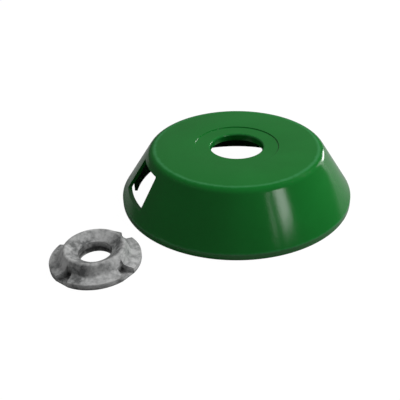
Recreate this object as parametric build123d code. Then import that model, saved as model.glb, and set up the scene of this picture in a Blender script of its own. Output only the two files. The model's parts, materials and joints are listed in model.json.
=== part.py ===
from build123d import *
import math
import os

# Wasp trap: a moulded hood that stands on a jar, and the entry ring that drops over its hole.
# Lengths are in millimetres and angles in degrees.
# Z = 0 is the surface the hood stands on, and the hood's axis is the Z axis.

# Hood, outside
rim_margin = 5.4
rim_band_height = 3.4
shoulder_radius = 45.8
hood_height = 29.4
hood_wall = 1.8
shoulder_round = 5.0
band_round = 0.8
edge_round = 0.5

# Hood, inside
inner_shoulder_round = 3.2
jar_mouth_radius = 55.0
jar_clearance = 0.5
collar_wall = 1.6

# Entry windows in the hood's flank
window_count = 2
window_angle = 201.5
window_width = 25.0
window_sill = 8.6
window_drop = 4.3
window_corner = 0.8
collar_gap_width = 44.0

# Entry ring
ring_radius = 21.3
ring_rim_height = 3.0
flange_fall = 0.9
crest_radius = 14.0
crest_foot_run = 2.6
crest_height = 9.6
crest_round = 1.4
crest_foot_round = 1.6
bore_radius = 7.8
dish_depth = 3.9
ring_edge_round = 0.5
ring_gap = 7.3
ring_direction = 223.5

# Notches in the entry ring
notch_count = 4
notch_angle = 55.0
notch_start = 1.1
notch_inner_width = 3.2
notch_outer_width = 7.4
notch_web_height = 0.6
notch_web_setback = 0.6

# The hole in the hood's top, its lip and the seat that the ring drops into
neck_radius = 13.7
neck_clearance = 0.3
lip_length = 3.9
lip_wall = 1.6
seat_depth = 0.5
seat_clearance = 1.1

# Sizes that follow from those above
full_turn = 360.0
overrun = 5.0
hole_radius = neck_radius + neck_clearance
seat_radius = ring_radius + seat_clearance
seat_level = hood_height - seat_depth
plate_level = hood_height - hood_wall
lip_level = seat_level - lip_length
collar_radius = jar_mouth_radius + jar_clearance
collar_outer_radius = collar_radius + collar_wall
rim_radius = collar_outer_radius + rim_margin
window_head = hood_height - window_drop
flank_run = rim_radius - shoulder_radius
flank_rise = hood_height - rim_band_height
flank_length = math.hypot(flank_run, flank_rise)
flank_wall_across = hood_wall * flank_length / flank_rise
bore_height = crest_height - dish_depth
notch_inner_radius = crest_radius + notch_start
notch_web_radius = ring_radius - notch_web_setback
ring_distance = rim_radius + ring_gap + ring_radius


def inner_flank_radius(level):
    """Radius of the flank's inner face at a height."""
    return rim_radius - (level - rim_band_height) * flank_run / flank_rise - flank_wall_across


def turned(outline, rounds, start=0.0, sweep=full_turn):
    """Turn an outline of (radius, height) points about Z, with its named corners rounded."""
    face = make_face(Polyline(*outline, close=True))
    for corner, radius in rounds:
        face = fillet(face.vertices().sort_by_distance(corner)[0], radius)
    return Rot(0, 0, start) * revolve(Plane.XZ * face, Axis.Z, sweep)


def sector(inner, outer, low, high, middle, width):
    """A block between two radii and two heights that spans a width in degrees."""
    outline = [(inner, low), (outer, low), (outer, high), (inner, high)]
    return turned(outline, [], middle - width / 2, width)


def around(count, first):
    """Evenly spaced angles about Z."""
    return [first + index * full_turn / count for index in range(count)]


def hood_shell():
    """The flank, the flat top with its ring seat, the lip of the hole and the rim band."""
    inner_band_level = rim_band_height - hood_wall * (flank_length - flank_rise) / flank_run
    hole_edge = (hole_radius, seat_level)
    shoulder = (shoulder_radius, hood_height)
    band_edge = (rim_radius, rim_band_height)
    rim_edge = (rim_radius, 0)
    inner_shoulder = (inner_flank_radius(plate_level), plate_level)
    outline = [
        (hole_radius, lip_level), hole_edge, (seat_radius, seat_level), (seat_radius, hood_height),
        shoulder, band_edge, rim_edge, (rim_radius - hood_wall, 0),
        (rim_radius - hood_wall, inner_band_level), inner_shoulder,
        (hole_radius + lip_wall, plate_level), (hole_radius + lip_wall, lip_level),
    ]
    rounds = [
        (hole_edge, edge_round), (shoulder, shoulder_round), (band_edge, band_round),
        (rim_edge, edge_round), (inner_shoulder, inner_shoulder_round),
    ]
    return turned(outline, rounds)


def jar_collar():
    """The collar that slips over a jar's mouth, open behind each window."""
    # The top edge lies halfway through the flank's wall, so that the two are one moulding.
    half_wall = flank_wall_across / 2
    rise = flank_rise / flank_run
    inner_top = rim_band_height + (rim_radius - half_wall - collar_radius) * rise
    outer_top = rim_band_height + (rim_radius - half_wall - collar_outer_radius) * rise
    outline = [
        (collar_radius, 0), (collar_outer_radius, 0),
        (collar_outer_radius, outer_top), (collar_radius, inner_top),
    ]
    collar = turned(outline, [])
    for angle in around(window_count, window_angle):
        collar -= sector(
            collar_radius - overrun, collar_outer_radius + overrun,
            -overrun, hood_height + overrun, angle, collar_gap_width,
        )
    return collar


def window(angle):
    """The block that cuts one entry window, with its corners rounded."""
    inner = inner_flank_radius(window_head) - overrun
    block = sector(inner, rim_radius + overrun, window_sill, window_head, angle, window_width)
    straight = block.edges().filter_by(GeomType.LINE)
    corners = [edge for edge in straight if abs((edge @ 1 - edge @ 0).Z) < window_corner]
    return fillet(corners, window_corner)


def hood():
    shape = hood_shell() + jar_collar()
    for angle in around(window_count, window_angle):
        shape -= window(angle)
    return shape


def notch(angle):
    """One notch of the flange: a pocket over a thin web, wider and open at the rim."""
    reach = ring_radius + overrun
    slope = (notch_outer_width - notch_inner_width) / 2 / (ring_radius - notch_inner_radius)
    start_width = notch_inner_width / 2
    web_width = start_width + slope * (notch_web_radius - notch_inner_radius)
    end_width = start_width + slope * (reach - notch_inner_radius)
    pocket = Polyline(
        (notch_inner_radius, -start_width), (reach, -end_width),
        (reach, end_width), (notch_inner_radius, start_width), close=True,
    )
    opening = Polyline(
        (notch_web_radius, -web_width), (reach, -end_width),
        (reach, end_width), (notch_web_radius, web_width), close=True,
    )
    depth = crest_height + overrun
    cut = Pos(0, 0, notch_web_height) * extrude(make_face(pocket), depth, dir=(0, 0, 1))
    cut += Pos(0, 0, -overrun) * extrude(make_face(opening), depth + overrun, dir=(0, 0, 1))
    return Rot(0, 0, angle) * cut


def entry_ring():
    """The ring: a flange with a raised crest that is dished towards the bore, lying beside the hood."""
    bore_edge = (bore_radius, bore_height)
    crest = (crest_radius, crest_height)
    rim_top = (ring_radius, ring_rim_height)
    rim_foot = (ring_radius, 0)
    crest_foot = (crest_radius + crest_foot_run, ring_rim_height + flange_fall)
    outline = [(bore_radius, 0), rim_foot, rim_top, crest_foot, crest, bore_edge]
    rounds = [
        (crest, crest_round), (crest_foot, crest_foot_round), (bore_edge, ring_edge_round),
        (rim_top, ring_edge_round), (rim_foot, ring_edge_round),
    ]
    ring = turned(outline, rounds)
    for angle in around(notch_count, notch_angle):
        ring -= notch(angle)
    return Rot(0, 0, ring_direction) * Pos(ring_distance, 0, 0) * Rot(0, 0, -ring_direction) * ring


nodes = {"hood": hood(), "entry_ring": entry_ring()}
os.makedirs("parts", exist_ok=True)
for name, shape in nodes.items():
    export_step(shape, f"parts/{name}.step")
    print(name, len(shape.solids()), round(shape.volume, 1))
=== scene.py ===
import bpy
import json
import math
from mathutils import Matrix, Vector


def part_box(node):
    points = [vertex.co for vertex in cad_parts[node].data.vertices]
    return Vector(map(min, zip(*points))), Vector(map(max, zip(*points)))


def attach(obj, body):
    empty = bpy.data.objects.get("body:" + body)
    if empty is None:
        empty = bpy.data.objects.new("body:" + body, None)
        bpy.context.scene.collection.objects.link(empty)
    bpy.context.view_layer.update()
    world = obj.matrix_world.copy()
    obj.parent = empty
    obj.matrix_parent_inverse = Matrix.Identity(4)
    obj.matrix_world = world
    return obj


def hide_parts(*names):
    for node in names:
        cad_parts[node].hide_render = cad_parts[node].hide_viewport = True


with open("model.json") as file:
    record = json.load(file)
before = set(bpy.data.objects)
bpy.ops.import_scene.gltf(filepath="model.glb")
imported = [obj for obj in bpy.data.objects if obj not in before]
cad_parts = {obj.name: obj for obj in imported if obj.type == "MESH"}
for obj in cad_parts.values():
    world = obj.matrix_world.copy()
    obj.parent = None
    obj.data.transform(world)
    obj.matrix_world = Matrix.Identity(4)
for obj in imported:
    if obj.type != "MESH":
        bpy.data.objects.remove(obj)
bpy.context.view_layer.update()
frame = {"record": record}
mm = 0.001
railRadius = 0.001 * mm  # the tiny circle that an outline is swept round
mergeDistance = 0.002 * mm
mounts = {mount["name"]: mount for mount in frame["record"]["mounts"]}
neckRadius = mounts["neck_hole"]["dims"]["r_mm"] * mm
collarRadius = mounts["jar_collar"]["dims"]["r_mm"] * mm
boreRadius = mounts["entry_bore"]["dims"]["r_mm"] * mm
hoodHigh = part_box("hood")[1]
ringLow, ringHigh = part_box("entry_ring")
hoodRadius = hoodHigh.x
ringRadius = (ringHigh.x - ringLow.x) / 2
ringCentre = ((ringLow.x + ringHigh.x) / 2, (ringLow.y + ringHigh.y) / 2, 0.0)
print("frame loaded")


# helpers that add nodes to a tree
def addNode(tree, kind, values=None, **settings):
    node = tree.nodes.new(kind)
    for key, value in settings.items():
        setattr(node, key, value)
    for key, value in (values or {}).items():
        if isinstance(value, bpy.types.NodeSocket):
            tree.links.new(value, node.inputs[key])
        else:
            node.inputs[key].default_value = value
    return node


def out(node, key=0):
    return node.outputs[key]


def addMath(tree, operation, *values):
    return out(addNode(tree, "ShaderNodeMath", dict(enumerate(values)), operation=operation))


def addGroup(tree, group, values):
    return addNode(tree, "ShaderNodeGroup", values, node_tree=group)


def addNoise(tree, vector, scale, detail, roughness=0.5, distortion=0.0):
    return out(addNode(tree, "ShaderNodeTexNoise", {
        "Vector": vector, "Scale": scale, "Detail": detail, "Roughness": roughness, "Distortion": distortion,
    }))


def mixColour(tree, factor, first, second):
    # sockets 6, 7 and output 2 are the Mix node's colours
    return out(addNode(tree, "ShaderNodeMix", {0: factor, 6: first, 7: second}, data_type="RGBA"), 2)


def newTree(name, kind, inputs, outputs):
    tree = bpy.data.node_groups.new(name, kind)
    for label, socket, value in inputs:
        item = tree.interface.new_socket(label, in_out="INPUT", socket_type=socket)
        if value is not None:
            item.default_value = value
    for label, socket in outputs:
        tree.interface.new_socket(label, in_out="OUTPUT", socket_type=socket)
    return tree, tree.nodes.new("NodeGroupInput"), tree.nodes.new("NodeGroupOutput")


# camera
cameraSettings = {
    "place": (0.000175, -0.288106, 0.175847),  # metres, in the model's own frame
    "pitch": 32.18,  # degrees below level
    "lens": 54.32,
    "sensor": 36.0,
    "shiftX": -0.0925,
    "nearest": 0.005,  # metres, where the view starts
}


def makeCamera(settings):
    data = bpy.data.cameras.new("camera")
    data.lens = settings["lens"]
    data.sensor_width = settings["sensor"]
    data.shift_x = settings["shiftX"]
    data.clip_start = settings["nearest"]
    camera = bpy.data.objects.new("camera", data)
    camera.location = settings["place"]
    camera.rotation_euler = (math.radians(90.0 - settings["pitch"]), 0.0, 0.0)
    bpy.context.collection.objects.link(camera)
    bpy.context.scene.camera = camera


makeCamera(cameraSettings)
bpy.context.scene.view_settings.view_transform = "Standard"
print("camera made")


# forms that are turned about an axis
def drawOutlines(name, outlines):
    # each outline is a closed list of (radius, height, corner round), in metres
    data = bpy.data.curves.new(name, "CURVE")
    data.dimensions = "3D"
    for outline in outlines:
        spline = data.splines.new("POLY")
        spline.points.add(len(outline) - 1)
        for point, (radius, height, corner) in zip(spline.points, outline):
            point.co = (radius, -height, 0.0, 1.0)  # the sweep turns -Y up
            point.radius = corner
        spline.use_cyclic_u = True
    return bpy.data.objects.new(name, data)


def roundCorners(tree, outline, steps):
    radius = out(addNode(tree, "GeometryNodeInputRadius"))
    values = {0: outline, "Radius": radius, "Limit Radius": True, "Count": steps}
    return out(addNode(tree, "GeometryNodeFilletCurve", values, mode="POLY"))


def turnRail(tree, rail):
    return out(addNode(tree, "GeometryNodeSetCurveNormal", {0: rail}, mode="Z_UP"))


def sweep(tree, rail, outline, caps=False):
    return out(addNode(tree, "GeometryNodeCurveToMesh", {0: rail, 1: outline, "Fill Caps": caps}))


def turnOutline(tree, segments, outline):
    # the outline turned once about the Z axis
    circle = addNode(tree, "GeometryNodeCurvePrimitiveCircle", {"Resolution": segments, "Radius": railRadius})
    return sweep(tree, turnRail(tree, out(circle)), outline)


def repeatAround(tree, piece, count, firstAngle):
    # copies of a piece, evenly spaced about the origin's Z axis
    step = addMath(tree, "DIVIDE", math.tau, count)
    index = out(addNode(tree, "GeometryNodeInputIndex"))
    angle = addMath(tree, "MULTIPLY_ADD", index, step, firstAngle)
    turn = out(addNode(tree, "ShaderNodeCombineXYZ", {"Z": angle}))
    points = out(addNode(tree, "GeometryNodePoints", {0: count}))
    values = {"Points": points, "Instance": piece, "Rotation": turn}
    copies = out(addNode(tree, "GeometryNodeInstanceOnPoints", values))
    return out(addNode(tree, "GeometryNodeRealizeInstances", {0: copies}))


def combine(tree, operation, first, second):
    # a union takes both meshes in the second socket
    node = addNode(tree, "GeometryNodeMeshBoolean", {1: second}, operation=operation, solver="EXACT")
    tree.links.new(first, node.inputs[0 if operation == "DIFFERENCE" else 1])
    return out(node)


def finishForm(tree, mesh, sharpAngle, material, group):
    # merge doubles, shade smooth between the sharp edges and give the material
    mesh = out(addNode(tree, "GeometryNodeMergeByDistance", {0: mesh, "Distance": mergeDistance}))
    mesh = out(addNode(tree, "GeometryNodeSetShadeSmooth", {0: mesh, "Shade Smooth": True}, domain="FACE"))
    edge = out(addNode(tree, "GeometryNodeInputMeshEdgeAngle"), "Unsigned Angle")
    sharp = addMath(tree, "GREATER_THAN", edge, sharpAngle)
    values = {0: mesh, "Selection": sharp, "Shade Smooth": False}
    mesh = out(addNode(tree, "GeometryNodeSetShadeSmooth", values, domain="EDGE"))
    mesh = out(addNode(tree, "GeometryNodeRealizeInstances", {0: mesh}))
    mesh = out(addNode(tree, "GeometryNodeSetMaterial", {0: mesh, "Material": material}))
    tree.links.new(mesh, group.inputs[0])


def applyForm(outlineObject, tree, inputs, name):
    # run the tree on the outline and keep the result as a plain mesh
    bpy.context.collection.objects.link(outlineObject)
    modifier = outlineObject.modifiers.new("form", "NODES")
    modifier.node_group = tree
    for item in tree.interface.items_tree:
        if item.in_out == "INPUT" and item.name in inputs:
            modifier[item.identifier] = inputs[item.name]
    evaluated = outlineObject.evaluated_get(bpy.context.evaluated_depsgraph_get())
    mesh = bpy.data.meshes.new_from_object(evaluated)
    mesh.name = name
    bpy.data.objects.remove(outlineObject)
    piece = bpy.data.objects.new(name, mesh)
    bpy.context.collection.objects.link(piece)
    return piece


# shader groups
def makeTone():
    # soft clouds and fine specks of colour in moulded plastic
    inputs = [
        ("Vector", "NodeSocketVector", None), ("Cloud Scale", "NodeSocketFloat", 30.0),
        ("Speck Scale", "NodeSocketFloat", 900.0), ("Speck Amount", "NodeSocketFloat", 0.2),
        ("Contrast", "NodeSocketFloat", 1.0),
        ("Deep", "NodeSocketColor", (0.1, 0.1, 0.1, 1.0)), ("Pale", "NodeSocketColor", (0.3, 0.3, 0.3, 1.0)),
    ]
    tree, group, end = newTree("plasticTone", "ShaderNodeTree", inputs, [("Color", "NodeSocketColor")])
    vector = out(group, "Vector")
    cloud = addNoise(tree, vector, out(group, "Cloud Scale"), 4.0, distortion=0.6)
    speck = addNoise(tree, vector, out(group, "Speck Scale"), 2.0)
    clouded = addMath(tree, "SUBTRACT", cloud, 0.5)
    cloudy = addMath(tree, "MULTIPLY_ADD", clouded, out(group, "Contrast"), 0.5)
    specked = addMath(tree, "SUBTRACT", speck, 0.5)
    factor = addMath(tree, "MULTIPLY_ADD", specked, out(group, "Speck Amount"), cloudy)
    colour = mixColour(tree, factor, out(group, "Deep"), out(group, "Pale"))
    tree.links.new(colour, end.inputs[0])
    return tree


def makeFinish():
    # the mould's fine grain, its slow ripple, and the roughness that goes with them
    inputs = [
        ("Vector", "NodeSocketVector", None), ("Grain Scale", "NodeSocketFloat", 2500.0),
        ("Ripple Scale", "NodeSocketFloat", 60.0), ("Ripple Share", "NodeSocketFloat", 0.5),
        ("Smooth", "NodeSocketFloat", 0.15), ("Rough", "NodeSocketFloat", 0.3),
    ]
    outputs = [("Height", "NodeSocketFloat"), ("Roughness", "NodeSocketFloat")]
    tree, group, end = newTree("mouldFinish", "ShaderNodeTree", inputs, outputs)
    vector = out(group, "Vector")
    grain = addNoise(tree, vector, out(group, "Grain Scale"), 3.0)
    ripple = addNoise(tree, vector, out(group, "Ripple Scale"), 2.0)
    patch = addNoise(tree, vector, 140.0, 5.0, roughness=0.7)
    slow = addMath(tree, "MULTIPLY", ripple, out(group, "Ripple Share"))
    quick = addMath(tree, "MULTIPLY", grain, addMath(tree, "SUBTRACT", 1.0, out(group, "Ripple Share")))
    height = addMath(tree, "ADD", slow, quick)
    spread = addMath(tree, "SUBTRACT", out(group, "Rough"), out(group, "Smooth"))
    rough = addMath(tree, "MULTIPLY_ADD", patch, spread, out(group, "Smooth"))
    tree.links.new(height, end.inputs[0])
    tree.links.new(rough, end.inputs[1])
    return tree


def makeWearAndShade():
    # a broken band along a round edge of a turned form; it masks both worn edges and bands of painted shade
    inputs = [
        ("Vector", "NodeSocketVector", None), ("Radius", "NodeSocketFloat", 0.05),
        ("Height", "NodeSocketFloat", 0.02), ("Reach", "NodeSocketFloat", 0.001),
        ("Break Scale", "NodeSocketFloat", 400.0),
    ]
    tree, group, end = newTree("edgeWearAndShade", "ShaderNodeTree", inputs, [("Mask", "NodeSocketFloat")])
    breakSpread, breakBase = 1.4, 0.3  # the noise's part in the band's width, and its least width
    part = addNode(tree, "ShaderNodeSeparateXYZ", {0: out(group, "Vector")})
    xSquare = addMath(tree, "POWER", out(part, 0), 2.0)
    ySquare = addMath(tree, "POWER", out(part, 1), 2.0)
    across = addMath(tree, "SQRT", addMath(tree, "ADD", xSquare, ySquare))
    offR = addMath(tree, "POWER", addMath(tree, "SUBTRACT", across, out(group, "Radius")), 2.0)
    offZ = addMath(tree, "POWER", addMath(tree, "SUBTRACT", out(part, 2), out(group, "Height")), 2.0)
    off = addMath(tree, "SQRT", addMath(tree, "ADD", offR, offZ))
    away = addMath(tree, "DIVIDE", off, out(group, "Reach"))
    noise = addNoise(tree, out(group, "Vector"), out(group, "Break Scale"), 4.0)
    near = addMath(tree, "SUBTRACT", addMath(tree, "MULTIPLY_ADD", noise, breakSpread, breakBase), away)
    mask = addNode(tree, "ShaderNodeClamp", {0: near})
    tree.links.new(out(mask), end.inputs[0])
    return tree


toneGroup = makeTone()
finishGroup = makeFinish()
wearAndShadeGroup = makeWearAndShade()


def moulded(name, settings, centre=(0.0, 0.0, 0.0)):
    # a moulded plastic: clouded colour, paler worn edges, near-black bands of painted shade where a look
    # lists them, grain and ripple
    material = bpy.data.materials.new(name)
    material.use_nodes = True
    tree = material.node_tree
    shader = tree.nodes["Principled BSDF"]
    place = out(addNode(tree, "ShaderNodeTexCoord"), "Object")
    shift = tuple(-value for value in centre)
    vector = out(addNode(tree, "ShaderNodeMapping", {"Vector": place, "Location": shift}))
    colour = out(addGroup(tree, toneGroup, {"Vector": vector, **settings["tone"]}))
    # each mark mixes its colour in along a band: paler for worn edges, near-black for painted shade
    for radius, height, reach, strength, tint in settings["marks"]:
        mask = out(addGroup(tree, wearAndShadeGroup, {
            "Vector": vector, "Radius": radius, "Height": height, "Reach": reach,
            "Break Scale": settings["breakScale"],
        }))
        colour = mixColour(tree, addMath(tree, "MULTIPLY", mask, strength), colour, settings[tint])
    finish = addGroup(tree, finishGroup, {"Vector": vector, **settings["finish"]})
    bump = addNode(tree, "ShaderNodeBump", {
        "Height": out(finish, "Height"), "Strength": settings["bump"], "Distance": settings["bumpDepth"],
    })
    tree.links.new(colour, shader.inputs["Base Color"])
    tree.links.new(out(finish, "Roughness"), shader.inputs["Roughness"])
    tree.links.new(out(bump), shader.inputs["Normal"])
    for key, value in settings["shader"].items():
        shader.inputs[key].default_value = value
    return material


# hood
hoodSettings = {
    "segments": 256, "roundSteps": 8, "wall": 1.8 * mm, "shoulder": 45.8 * mm, "shoulderRound": 5.0 * mm,
    "band": 3.4 * mm, "bandRound": 0.8 * mm, "footRound": 0.5 * mm, "holeRound": 1.2 * mm,
    "seat": 22.4 * mm, "seatDepth": 0.5 * mm, "seatRound": 0.35 * mm, "lip": 3.9 * mm, "lipWall": 1.6 * mm,
    "collarWall": 1.6 * mm, "windows": 2, "windowAngle": 201.5, "windowWidth": 25.0, "sill": 8.6 * mm,
    "windowDrop": 4.3 * mm, "windowCorner": 0.8 * mm, "innerShoulderRound": 3.2 * mm, "gap": 44.0,
    "innerFootRound": 0.2 * mm, "innerBandRound": 0.6 * mm, "lipRound": 0.3 * mm, "lipRootRound": 0.5 * mm,
    "sharp": 35.0,
}
hoodLook = {
    "tone": {
        "Cloud Scale": 28.0, "Speck Scale": 1100.0, "Speck Amount": 0.25, "Contrast": 1.2,
        "Deep": (0.0035, 0.125, 0.014, 1.0), "Pale": (0.006, 0.17, 0.022, 1.0),
    },
    # radius, height, reach, strength and colour of each worn edge
    "marks": [
        (43.6 * mm, hoodHigh.z, 1.3 * mm, 0.45, "worn"),
        (hoodRadius, hoodSettings["band"], 0.9 * mm, 0.3, "worn"),
        (hoodRadius, 0.0, 0.8 * mm, 0.3, "worn"),
        (neckRadius, hoodHigh.z - 0.5 * mm, 1.2 * mm, 0.25, "worn"),
    ],
    "worn": (0.05, 0.28, 0.1, 1.0), "breakScale": 420.0,
    "finish": {
        "Grain Scale": 2400.0, "Ripple Scale": 55.0, "Ripple Share": 0.6, "Smooth": 0.06, "Rough": 0.2,
    },
    "bump": 0.35, "bumpDepth": 0.12 * mm,
    "shader": {"IOR": 1.5},
}


def hoodOutlines(s):
    top = hoodHigh.z
    lipOuter = neckRadius + s["lipWall"]
    run, rise = hoodRadius - s["shoulder"], top - s["band"]
    length = math.hypot(run, rise)
    across = s["wall"] * length / rise  # the flank's wall measured level
    plate = top - s["wall"]
    innerBand = s["band"] - s["wall"] * (length - rise) / run
    innerShoulder = hoodRadius - (plate - s["band"]) * run / rise - across
    seatLevel = top - s["seatDepth"]
    lipLevel = seatLevel - s["lip"]
    shell = [
        (neckRadius, lipLevel, s["lipRound"]), (neckRadius, seatLevel, s["holeRound"]),
        (s["seat"], seatLevel, s["seatRound"]), (s["seat"], top, s["seatRound"]),
        (s["shoulder"], top, s["shoulderRound"]),
        (hoodRadius, s["band"], s["bandRound"]), (hoodRadius, 0.0, s["footRound"]),
        (hoodRadius - s["wall"], 0.0, s["innerFootRound"]),
        (hoodRadius - s["wall"], innerBand, s["innerBandRound"]),
        (innerShoulder, plate, s["innerShoulderRound"]),
        (lipOuter, plate, s["lipRootRound"]), (lipOuter, lipLevel, s["lipRound"]),
    ]
    collarOuter = collarRadius + s["collarWall"]

    def midWall(radius):
        # height of the flank's middle at a radius, where the collar ends inside the wall
        return s["band"] + (hoodRadius - across / 2 - radius) * rise / run

    wall = [
        (collarRadius, 0.0, s["innerFootRound"]), (collarRadius, midWall(collarRadius), 0.0),
        (collarOuter, midWall(collarOuter), 0.0), (collarOuter, 0.0, s["innerFootRound"]),
    ]
    return [shell, wall]


def makeHoodTree():
    inputs = [
        ("Outlines", "NodeSocketGeometry", None), ("Segments", "NodeSocketInt", 256),
        ("Round Steps", "NodeSocketInt", 8), ("Window Count", "NodeSocketInt", 2),
        ("Window Angle", "NodeSocketFloat", 0.0), ("Window Width", "NodeSocketFloat", 0.5),
        ("Window Sill", "NodeSocketFloat", 0.01), ("Window Head", "NodeSocketFloat", 0.02),
        ("Window Corner", "NodeSocketFloat", 0.001), ("Rim Radius", "NodeSocketFloat", 0.06),
        ("Collar Gap", "NodeSocketFloat", 0.5), ("Sharp Angle", "NodeSocketFloat", 0.6),
        ("Material", "NodeSocketMaterial", None),
    ]
    tree, group, end = newTree("hoodForm", "GeometryNodeTree", inputs, [("Mesh", "NodeSocketGeometry")])
    collarPoints, collarSteps, cornerSteps = 97, 3, 5  # how finely the arcs and small rounds are cut
    blockInner, blockOuter = 0.62, 1.15  # the window blocks' ends, as shares of the rim's radius
    count = out(group, "Window Count")
    index = out(addNode(tree, "GeometryNodeInputIndex"))
    first = addMath(tree, "LESS_THAN", index, 0.5)
    values = {0: out(group, "Outlines"), 1: first}
    split = addNode(tree, "GeometryNodeSeparateGeometry", values, domain="CURVE")
    shellOutline = roundCorners(tree, out(split, 0), out(group, "Round Steps"))
    shell = turnOutline(tree, out(group, "Segments"), shellOutline)
    # the collar runs between the windows' gaps
    span = addMath(tree, "SUBTRACT", addMath(tree, "DIVIDE", math.tau, count), out(group, "Collar Gap"))
    arc = addNode(tree, "GeometryNodeCurveArc", {
        "Resolution": collarPoints, "Radius": railRadius, "Start Angle": 0.0, "Sweep Angle": span,
    })
    collar = sweep(tree, turnRail(tree, out(arc)), roundCorners(tree, out(split, 1), collarSteps), caps=True)
    collarAngle = addMath(tree, "MULTIPLY_ADD", out(group, "Collar Gap"), 0.5, out(group, "Window Angle"))
    body = combine(tree, "UNION", shell, repeatAround(tree, collar, count, collarAngle))
    # a block with rounded corners, bent about the axis, cuts each window
    tall = addMath(tree, "SUBTRACT", out(group, "Window Head"), out(group, "Window Sill"))
    middle = addMath(tree, "MULTIPLY_ADD", tall, 0.5, out(group, "Window Sill"))
    wide = addMath(tree, "MULTIPLY", out(group, "Window Width"), out(group, "Rim Radius"))
    values = {"Width": wide, "Height": tall}
    face = addNode(tree, "GeometryNodeCurvePrimitiveQuadrilateral", values, mode="RECTANGLE")
    values = {0: out(face), "Radius": out(group, "Window Corner"), "Count": cornerSteps}
    face = addNode(tree, "GeometryNodeFilletCurve", values, mode="POLY")
    inner = addMath(tree, "MULTIPLY", out(group, "Rim Radius"), blockInner)
    outer = addMath(tree, "MULTIPLY", out(group, "Rim Radius"), blockOuter)
    line = addNode(tree, "GeometryNodeCurvePrimitiveLine", {
        "Start": out(addNode(tree, "ShaderNodeCombineXYZ", {"X": inner})),
        "End": out(addNode(tree, "ShaderNodeCombineXYZ", {"X": outer})),
    })
    block = sweep(tree, turnRail(tree, out(line)), out(face), caps=True)
    part = addNode(tree, "ShaderNodeSeparateXYZ", {0: out(addNode(tree, "GeometryNodeInputPosition"))})
    angle = addMath(tree, "DIVIDE", out(part, 1), out(group, "Rim Radius"))
    bent = addNode(tree, "ShaderNodeCombineXYZ", {
        "X": addMath(tree, "MULTIPLY", out(part, 0), addMath(tree, "COSINE", angle)),
        "Y": addMath(tree, "MULTIPLY", out(part, 0), addMath(tree, "SINE", angle)),
        "Z": addMath(tree, "ADD", out(part, 2), middle),
    })
    block = out(addNode(tree, "GeometryNodeSetPosition", {0: block, "Position": out(bent)}))
    windows = repeatAround(tree, block, count, out(group, "Window Angle"))
    cut = combine(tree, "DIFFERENCE", body, windows)
    finishForm(tree, cut, out(group, "Sharp Angle"), out(group, "Material"), end)
    return tree


hoodGreen = moulded("hoodGreen", hoodLook)
hood = applyForm(drawOutlines("hoodOutline", hoodOutlines(hoodSettings)), makeHoodTree(), {
    "Segments": hoodSettings["segments"], "Round Steps": hoodSettings["roundSteps"],
    "Window Count": hoodSettings["windows"], "Window Angle": math.radians(hoodSettings["windowAngle"]),
    "Window Width": math.radians(hoodSettings["windowWidth"]), "Window Sill": hoodSettings["sill"],
    "Window Head": hoodHigh.z - hoodSettings["windowDrop"], "Window Corner": hoodSettings["windowCorner"],
    "Rim Radius": hoodRadius, "Collar Gap": math.radians(hoodSettings["gap"]),
    "Sharp Angle": math.radians(hoodSettings["sharp"]), "Material": hoodGreen,
}, "trapHood")
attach(hood, "hood")
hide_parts("hood")
print("hood made", len(hood.data.vertices), "points")

# entry ring
ringSettings = {
    "segments": 256, "roundSteps": 8, "rim": 3.0 * mm, "flangeFall": 0.9 * mm, "crest": 14.0 * mm,
    "crestHeight": 9.6 * mm, "crestRound": 1.4 * mm, "footRun": 2.6 * mm, "footRound": 1.6 * mm,
    "dish": 3.9 * mm, "edgeRound": 0.5 * mm, "notches": 4, "notchAngle": 55.0, "notchStart": 15.1 * mm,
    "notchInner": 3.2 * mm, "notchOuter": 7.4 * mm, "webLevel": 0.6 * mm, "webRadius": 20.7 * mm,
    "boreRound": 0.3 * mm, "sharp": 35.0,
}
ringLook = {
    "tone": {
        "Cloud Scale": 130.0, "Speck Scale": 620.0, "Speck Amount": 1.5, "Contrast": 3.2,
        "Deep": (0.13, 0.134, 0.134, 1.0), "Pale": (0.52, 0.525, 0.522, 1.0),
    },
    "marks": [
        (ringRadius, ringSettings["rim"], 0.9 * mm, 0.35, "worn"),
        (13.5 * mm, 8.9 * mm, 1.2 * mm, 0.3, "worn"),
        # painted shade: the next three near-black bands darken the bore wall, the foot of the outer rim where
        # it meets the floor, and the notch pockets' floors and inner ends
        (boreRadius, 2.2 * mm, 2.9 * mm, 1.0, "paintedShade"),
        (ringRadius, 0.2 * mm, 1.2 * mm, 0.7, "paintedShade"),
        (15.6 * mm, 1.6 * mm, 2.2 * mm, 0.95, "paintedShade"),
    ],
    # paintedShade is the near-black colour of that painted shade
    "worn": (0.42, 0.42, 0.41, 1.0), "paintedShade": (0.02, 0.021, 0.021, 1.0), "breakScale": 500.0,
    "finish": {
        "Grain Scale": 1500.0, "Ripple Scale": 230.0, "Ripple Share": 0.75, "Smooth": 0.16, "Rough": 0.4,
    },
    "bump": 0.5, "bumpDepth": 0.25 * mm,
    "shader": {"IOR": 1.58, "Coat Weight": 0.5, "Coat Roughness": 0.12},
}


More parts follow.
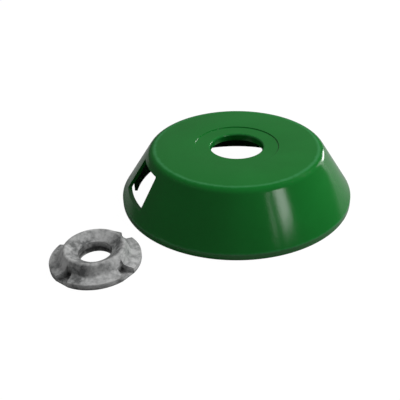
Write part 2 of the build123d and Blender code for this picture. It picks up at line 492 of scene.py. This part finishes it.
def makeRingTree():
    inputs = [
        ("Outline", "NodeSocketGeometry", None), ("Segments", "NodeSocketInt", 256),
        ("Round Steps", "NodeSocketInt", 8), ("Notch Count", "NodeSocketInt", 4),
        ("Notch Angle", "NodeSocketFloat", 0.0), ("Notch Start", "NodeSocketFloat", 0.01),
        ("Inner Width", "NodeSocketFloat", 0.002), ("Outer Width", "NodeSocketFloat", 0.004),
        ("Ring Radius", "NodeSocketFloat", 0.02), ("Web Radius", "NodeSocketFloat", 0.018),
        ("Web Level", "NodeSocketFloat", 0.001), ("Centre", "NodeSocketVector", None),
        ("Sharp Angle", "NodeSocketFloat", 0.6), ("Material", "NodeSocketMaterial", None),
    ]
    tree, group, end = newTree("ringForm", "GeometryNodeTree", inputs, [("Mesh", "NodeSocketGeometry")])
    # the blocks that cut the notches: outer end as a share of the ring's radius, height and lowest level
    blockShare, blockHeight, blockFoot = 1.3, 20.0 * mm, -5.0 * mm
    outline = roundCorners(tree, out(group, "Outline"), out(group, "Round Steps"))
    ring = turnOutline(tree, out(group, "Segments"), outline)
    reach = addMath(tree, "MULTIPLY", out(group, "Ring Radius"), blockShare)
    spread = addMath(tree, "SUBTRACT", out(group, "Outer Width"), out(group, "Inner Width"))
    run = addMath(tree, "SUBTRACT", out(group, "Ring Radius"), out(group, "Notch Start"))
    slope = addMath(tree, "DIVIDE", spread, run)

    def wedge(start, low):
        # a block from start outwards, as wide as the notch at each radius
        length = addMath(tree, "SUBTRACT", reach, start)
        size = addNode(tree, "ShaderNodeCombineXYZ", {"X": length, "Y": 1.0, "Z": blockHeight})
        cube = addNode(tree, "GeometryNodeMeshCube", {"Size": out(size)})
        part = addNode(tree, "ShaderNodeSeparateXYZ", {0: out(addNode(tree, "GeometryNodeInputPosition"))})
        x = addMath(tree, "ADD", out(part, 0), addMath(tree, "MULTIPLY_ADD", length, 0.5, start))
        along = addMath(tree, "SUBTRACT", x, out(group, "Notch Start"))
        width = addMath(tree, "MULTIPLY_ADD", along, slope, out(group, "Inner Width"))
        y = addMath(tree, "MULTIPLY", out(part, 1), width)
        z = addMath(tree, "ADD", out(part, 2), addMath(tree, "ADD", low, blockHeight / 2))
        moved = addNode(tree, "ShaderNodeCombineXYZ", {"X": x, "Y": y, "Z": z})
        return out(addNode(tree, "GeometryNodeSetPosition", {0: out(cube, "Mesh"), "Position": out(moved)}))

    pocket = wedge(out(group, "Notch Start"), out(group, "Web Level"))
    opening = wedge(out(group, "Web Radius"), blockFoot)
    for block in (pocket, opening):
        cutters = repeatAround(tree, block, out(group, "Notch Count"), out(group, "Notch Angle"))
        ring = combine(tree, "DIFFERENCE", ring, cutters)
    ring = out(addNode(tree, "GeometryNodeTransform", {0: ring, "Translation": out(group, "Centre")}))
    finishForm(tree, ring, out(group, "Sharp Angle"), out(group, "Material"), end)
    return tree


def ringOutline(s):
    return [
        (boreRadius, 0.0, s["boreRound"]), (boreRadius, s["crestHeight"] - s["dish"], s["edgeRound"]),
        (s["crest"], s["crestHeight"], s["crestRound"]),
        (s["crest"] + s["footRun"], s["rim"] + s["flangeFall"], s["footRound"]),
        (ringRadius, s["rim"], s["edgeRound"]), (ringRadius, 0.0, s["edgeRound"]),
    ]


ringGrey = moulded("ringGrey", ringLook, ringCentre)
entryRing = applyForm(drawOutlines("ringOutline", [ringOutline(ringSettings)]), makeRingTree(), {
    "Segments": ringSettings["segments"], "Round Steps": ringSettings["roundSteps"],
    "Notch Count": ringSettings["notches"], "Notch Angle": math.radians(ringSettings["notchAngle"]),
    "Notch Start": ringSettings["notchStart"], "Inner Width": ringSettings["notchInner"],
    "Outer Width": ringSettings["notchOuter"], "Ring Radius": ringRadius,
    "Web Radius": ringSettings["webRadius"], "Web Level": ringSettings["webLevel"],
    "Centre": ringCentre, "Sharp Angle": math.radians(ringSettings["sharp"]), "Material": ringGrey,
}, "entryRing")
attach(entryRing, "entry_ring")
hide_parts("entry_ring")
print("ring made", len(entryRing.data.vertices), "points")

# floor and light
studioSettings = {
    "floorHalf": 3.0, "floorLevel": -0.05 * mm, "floorWhite": 1.1, "floorShare": 0.9, "floorColour": 0.35,
    "world": 0.1,
    # direction and height in degrees, distance and size in metres, watts, seen in reflections or not
    "lights": {
        "stripFront": (-37.5, 30.0, 0.8, (0.15, 0.18), 0.46, True),
        "stripThin": (-52.0, 30.0, 0.8, (0.015, 0.17), 0.04, True),
        "keyRight": (20.0, 46.0, 0.9, (0.45, 0.45), 8.8, False),
        "keyLeft": (190.0, 50.0, 0.9, (0.4, 0.4), 1.2, False),
        "backWall": (90.0, 32.0, 1.2, (1.2, 0.45), 0.16, True),
        "backLine": (70.0, 50.0, 1.0, (1.0, 0.1), 0.12, True),
        "backRight": (38.0, 14.0, 0.8, (0.14, 0.36), 0.26, True),
        "edgeRight": (47.0, 10.0, 0.8, (0.2, 0.14), 0.8, True),
    },
}


def makeFloor(settings):
    half = settings["floorHalf"]
    mesh = bpy.data.meshes.new("floor")
    low = settings["floorLevel"]
    corners = [(-half, -half, low), (half, -half, low), (half, half, low), (-half, half, low)]
    mesh.from_pydata(corners, [], [(0, 1, 2, 3)])
    floor = bpy.data.objects.new("floor", mesh)
    bpy.context.collection.objects.link(floor)
    material = bpy.data.materials.new("paleFloor")
    material.use_nodes = True
    tree = material.node_tree
    tree.nodes.clear()
    pale = settings["floorColour"]
    paint = addNode(tree, "ShaderNodeBsdfDiffuse", {"Color": (pale, pale, pale, 1.0)})
    white = settings["floorWhite"]
    glow = addNode(tree, "ShaderNodeEmission", {"Strength": white})
    # seen directly, the floor is nearly evenly white; to the object it is a plain pale floor
    path = addNode(tree, "ShaderNodeLightPath")
    share = addMath(tree, "MULTIPLY", out(path, "Is Camera Ray"), settings["floorShare"])
    mixed = addNode(tree, "ShaderNodeMixShader", {0: share, 1: out(paint), 2: out(glow)})
    # from below, the camera looks through the floor
    back = out(addNode(tree, "ShaderNodeNewGeometry"), "Backfacing")
    under = addMath(tree, "MULTIPLY", out(path, "Is Camera Ray"), back)
    clear = addNode(tree, "ShaderNodeBsdfTransparent")
    mixed = addNode(tree, "ShaderNodeMixShader", {0: under, 1: out(mixed), 2: out(clear)})
    addNode(tree, "ShaderNodeOutputMaterial", {0: out(mixed)})
    mesh.materials.append(material)


def makeLight(name, direction, height, distance, size, power, glossy):
    data = bpy.data.lights.new(name, "AREA")
    data.shape = "RECTANGLE"
    data.size, data.size_y = size
    data.energy = power
    light = bpy.data.objects.new(name, data)
    around, up = math.radians(direction), math.radians(height)
    way = Vector((math.cos(up) * math.cos(around), math.cos(up) * math.sin(around), math.sin(up)))
    light.location = way * distance
    light.rotation_euler = way.to_track_quat("Z", "Y").to_euler()
    light.visible_camera = False
    light.visible_glossy = glossy
    bpy.context.collection.objects.link(light)


def makeWorld(settings):
    world = bpy.data.worlds.new("studio")
    world.use_nodes = True
    tree = world.node_tree
    background = tree.nodes["Background"]
    background.inputs["Color"].default_value = (1.0, 1.0, 1.0, 1.0)
    path = addNode(tree, "ShaderNodeLightPath")
    strength = addNode(tree, "ShaderNodeMapRange", {
        "Value": out(path, "Is Camera Ray"), "To Min": settings["world"], "To Max": settings["floorWhite"]})
    tree.links.new(out(strength), background.inputs["Strength"])
    bpy.context.scene.world = world


makeFloor(studioSettings)
for lightName, lightValues in studioSettings["lights"].items():
    makeLight(lightName, *lightValues)
makeWorld(studioSettings)
print("stage made")
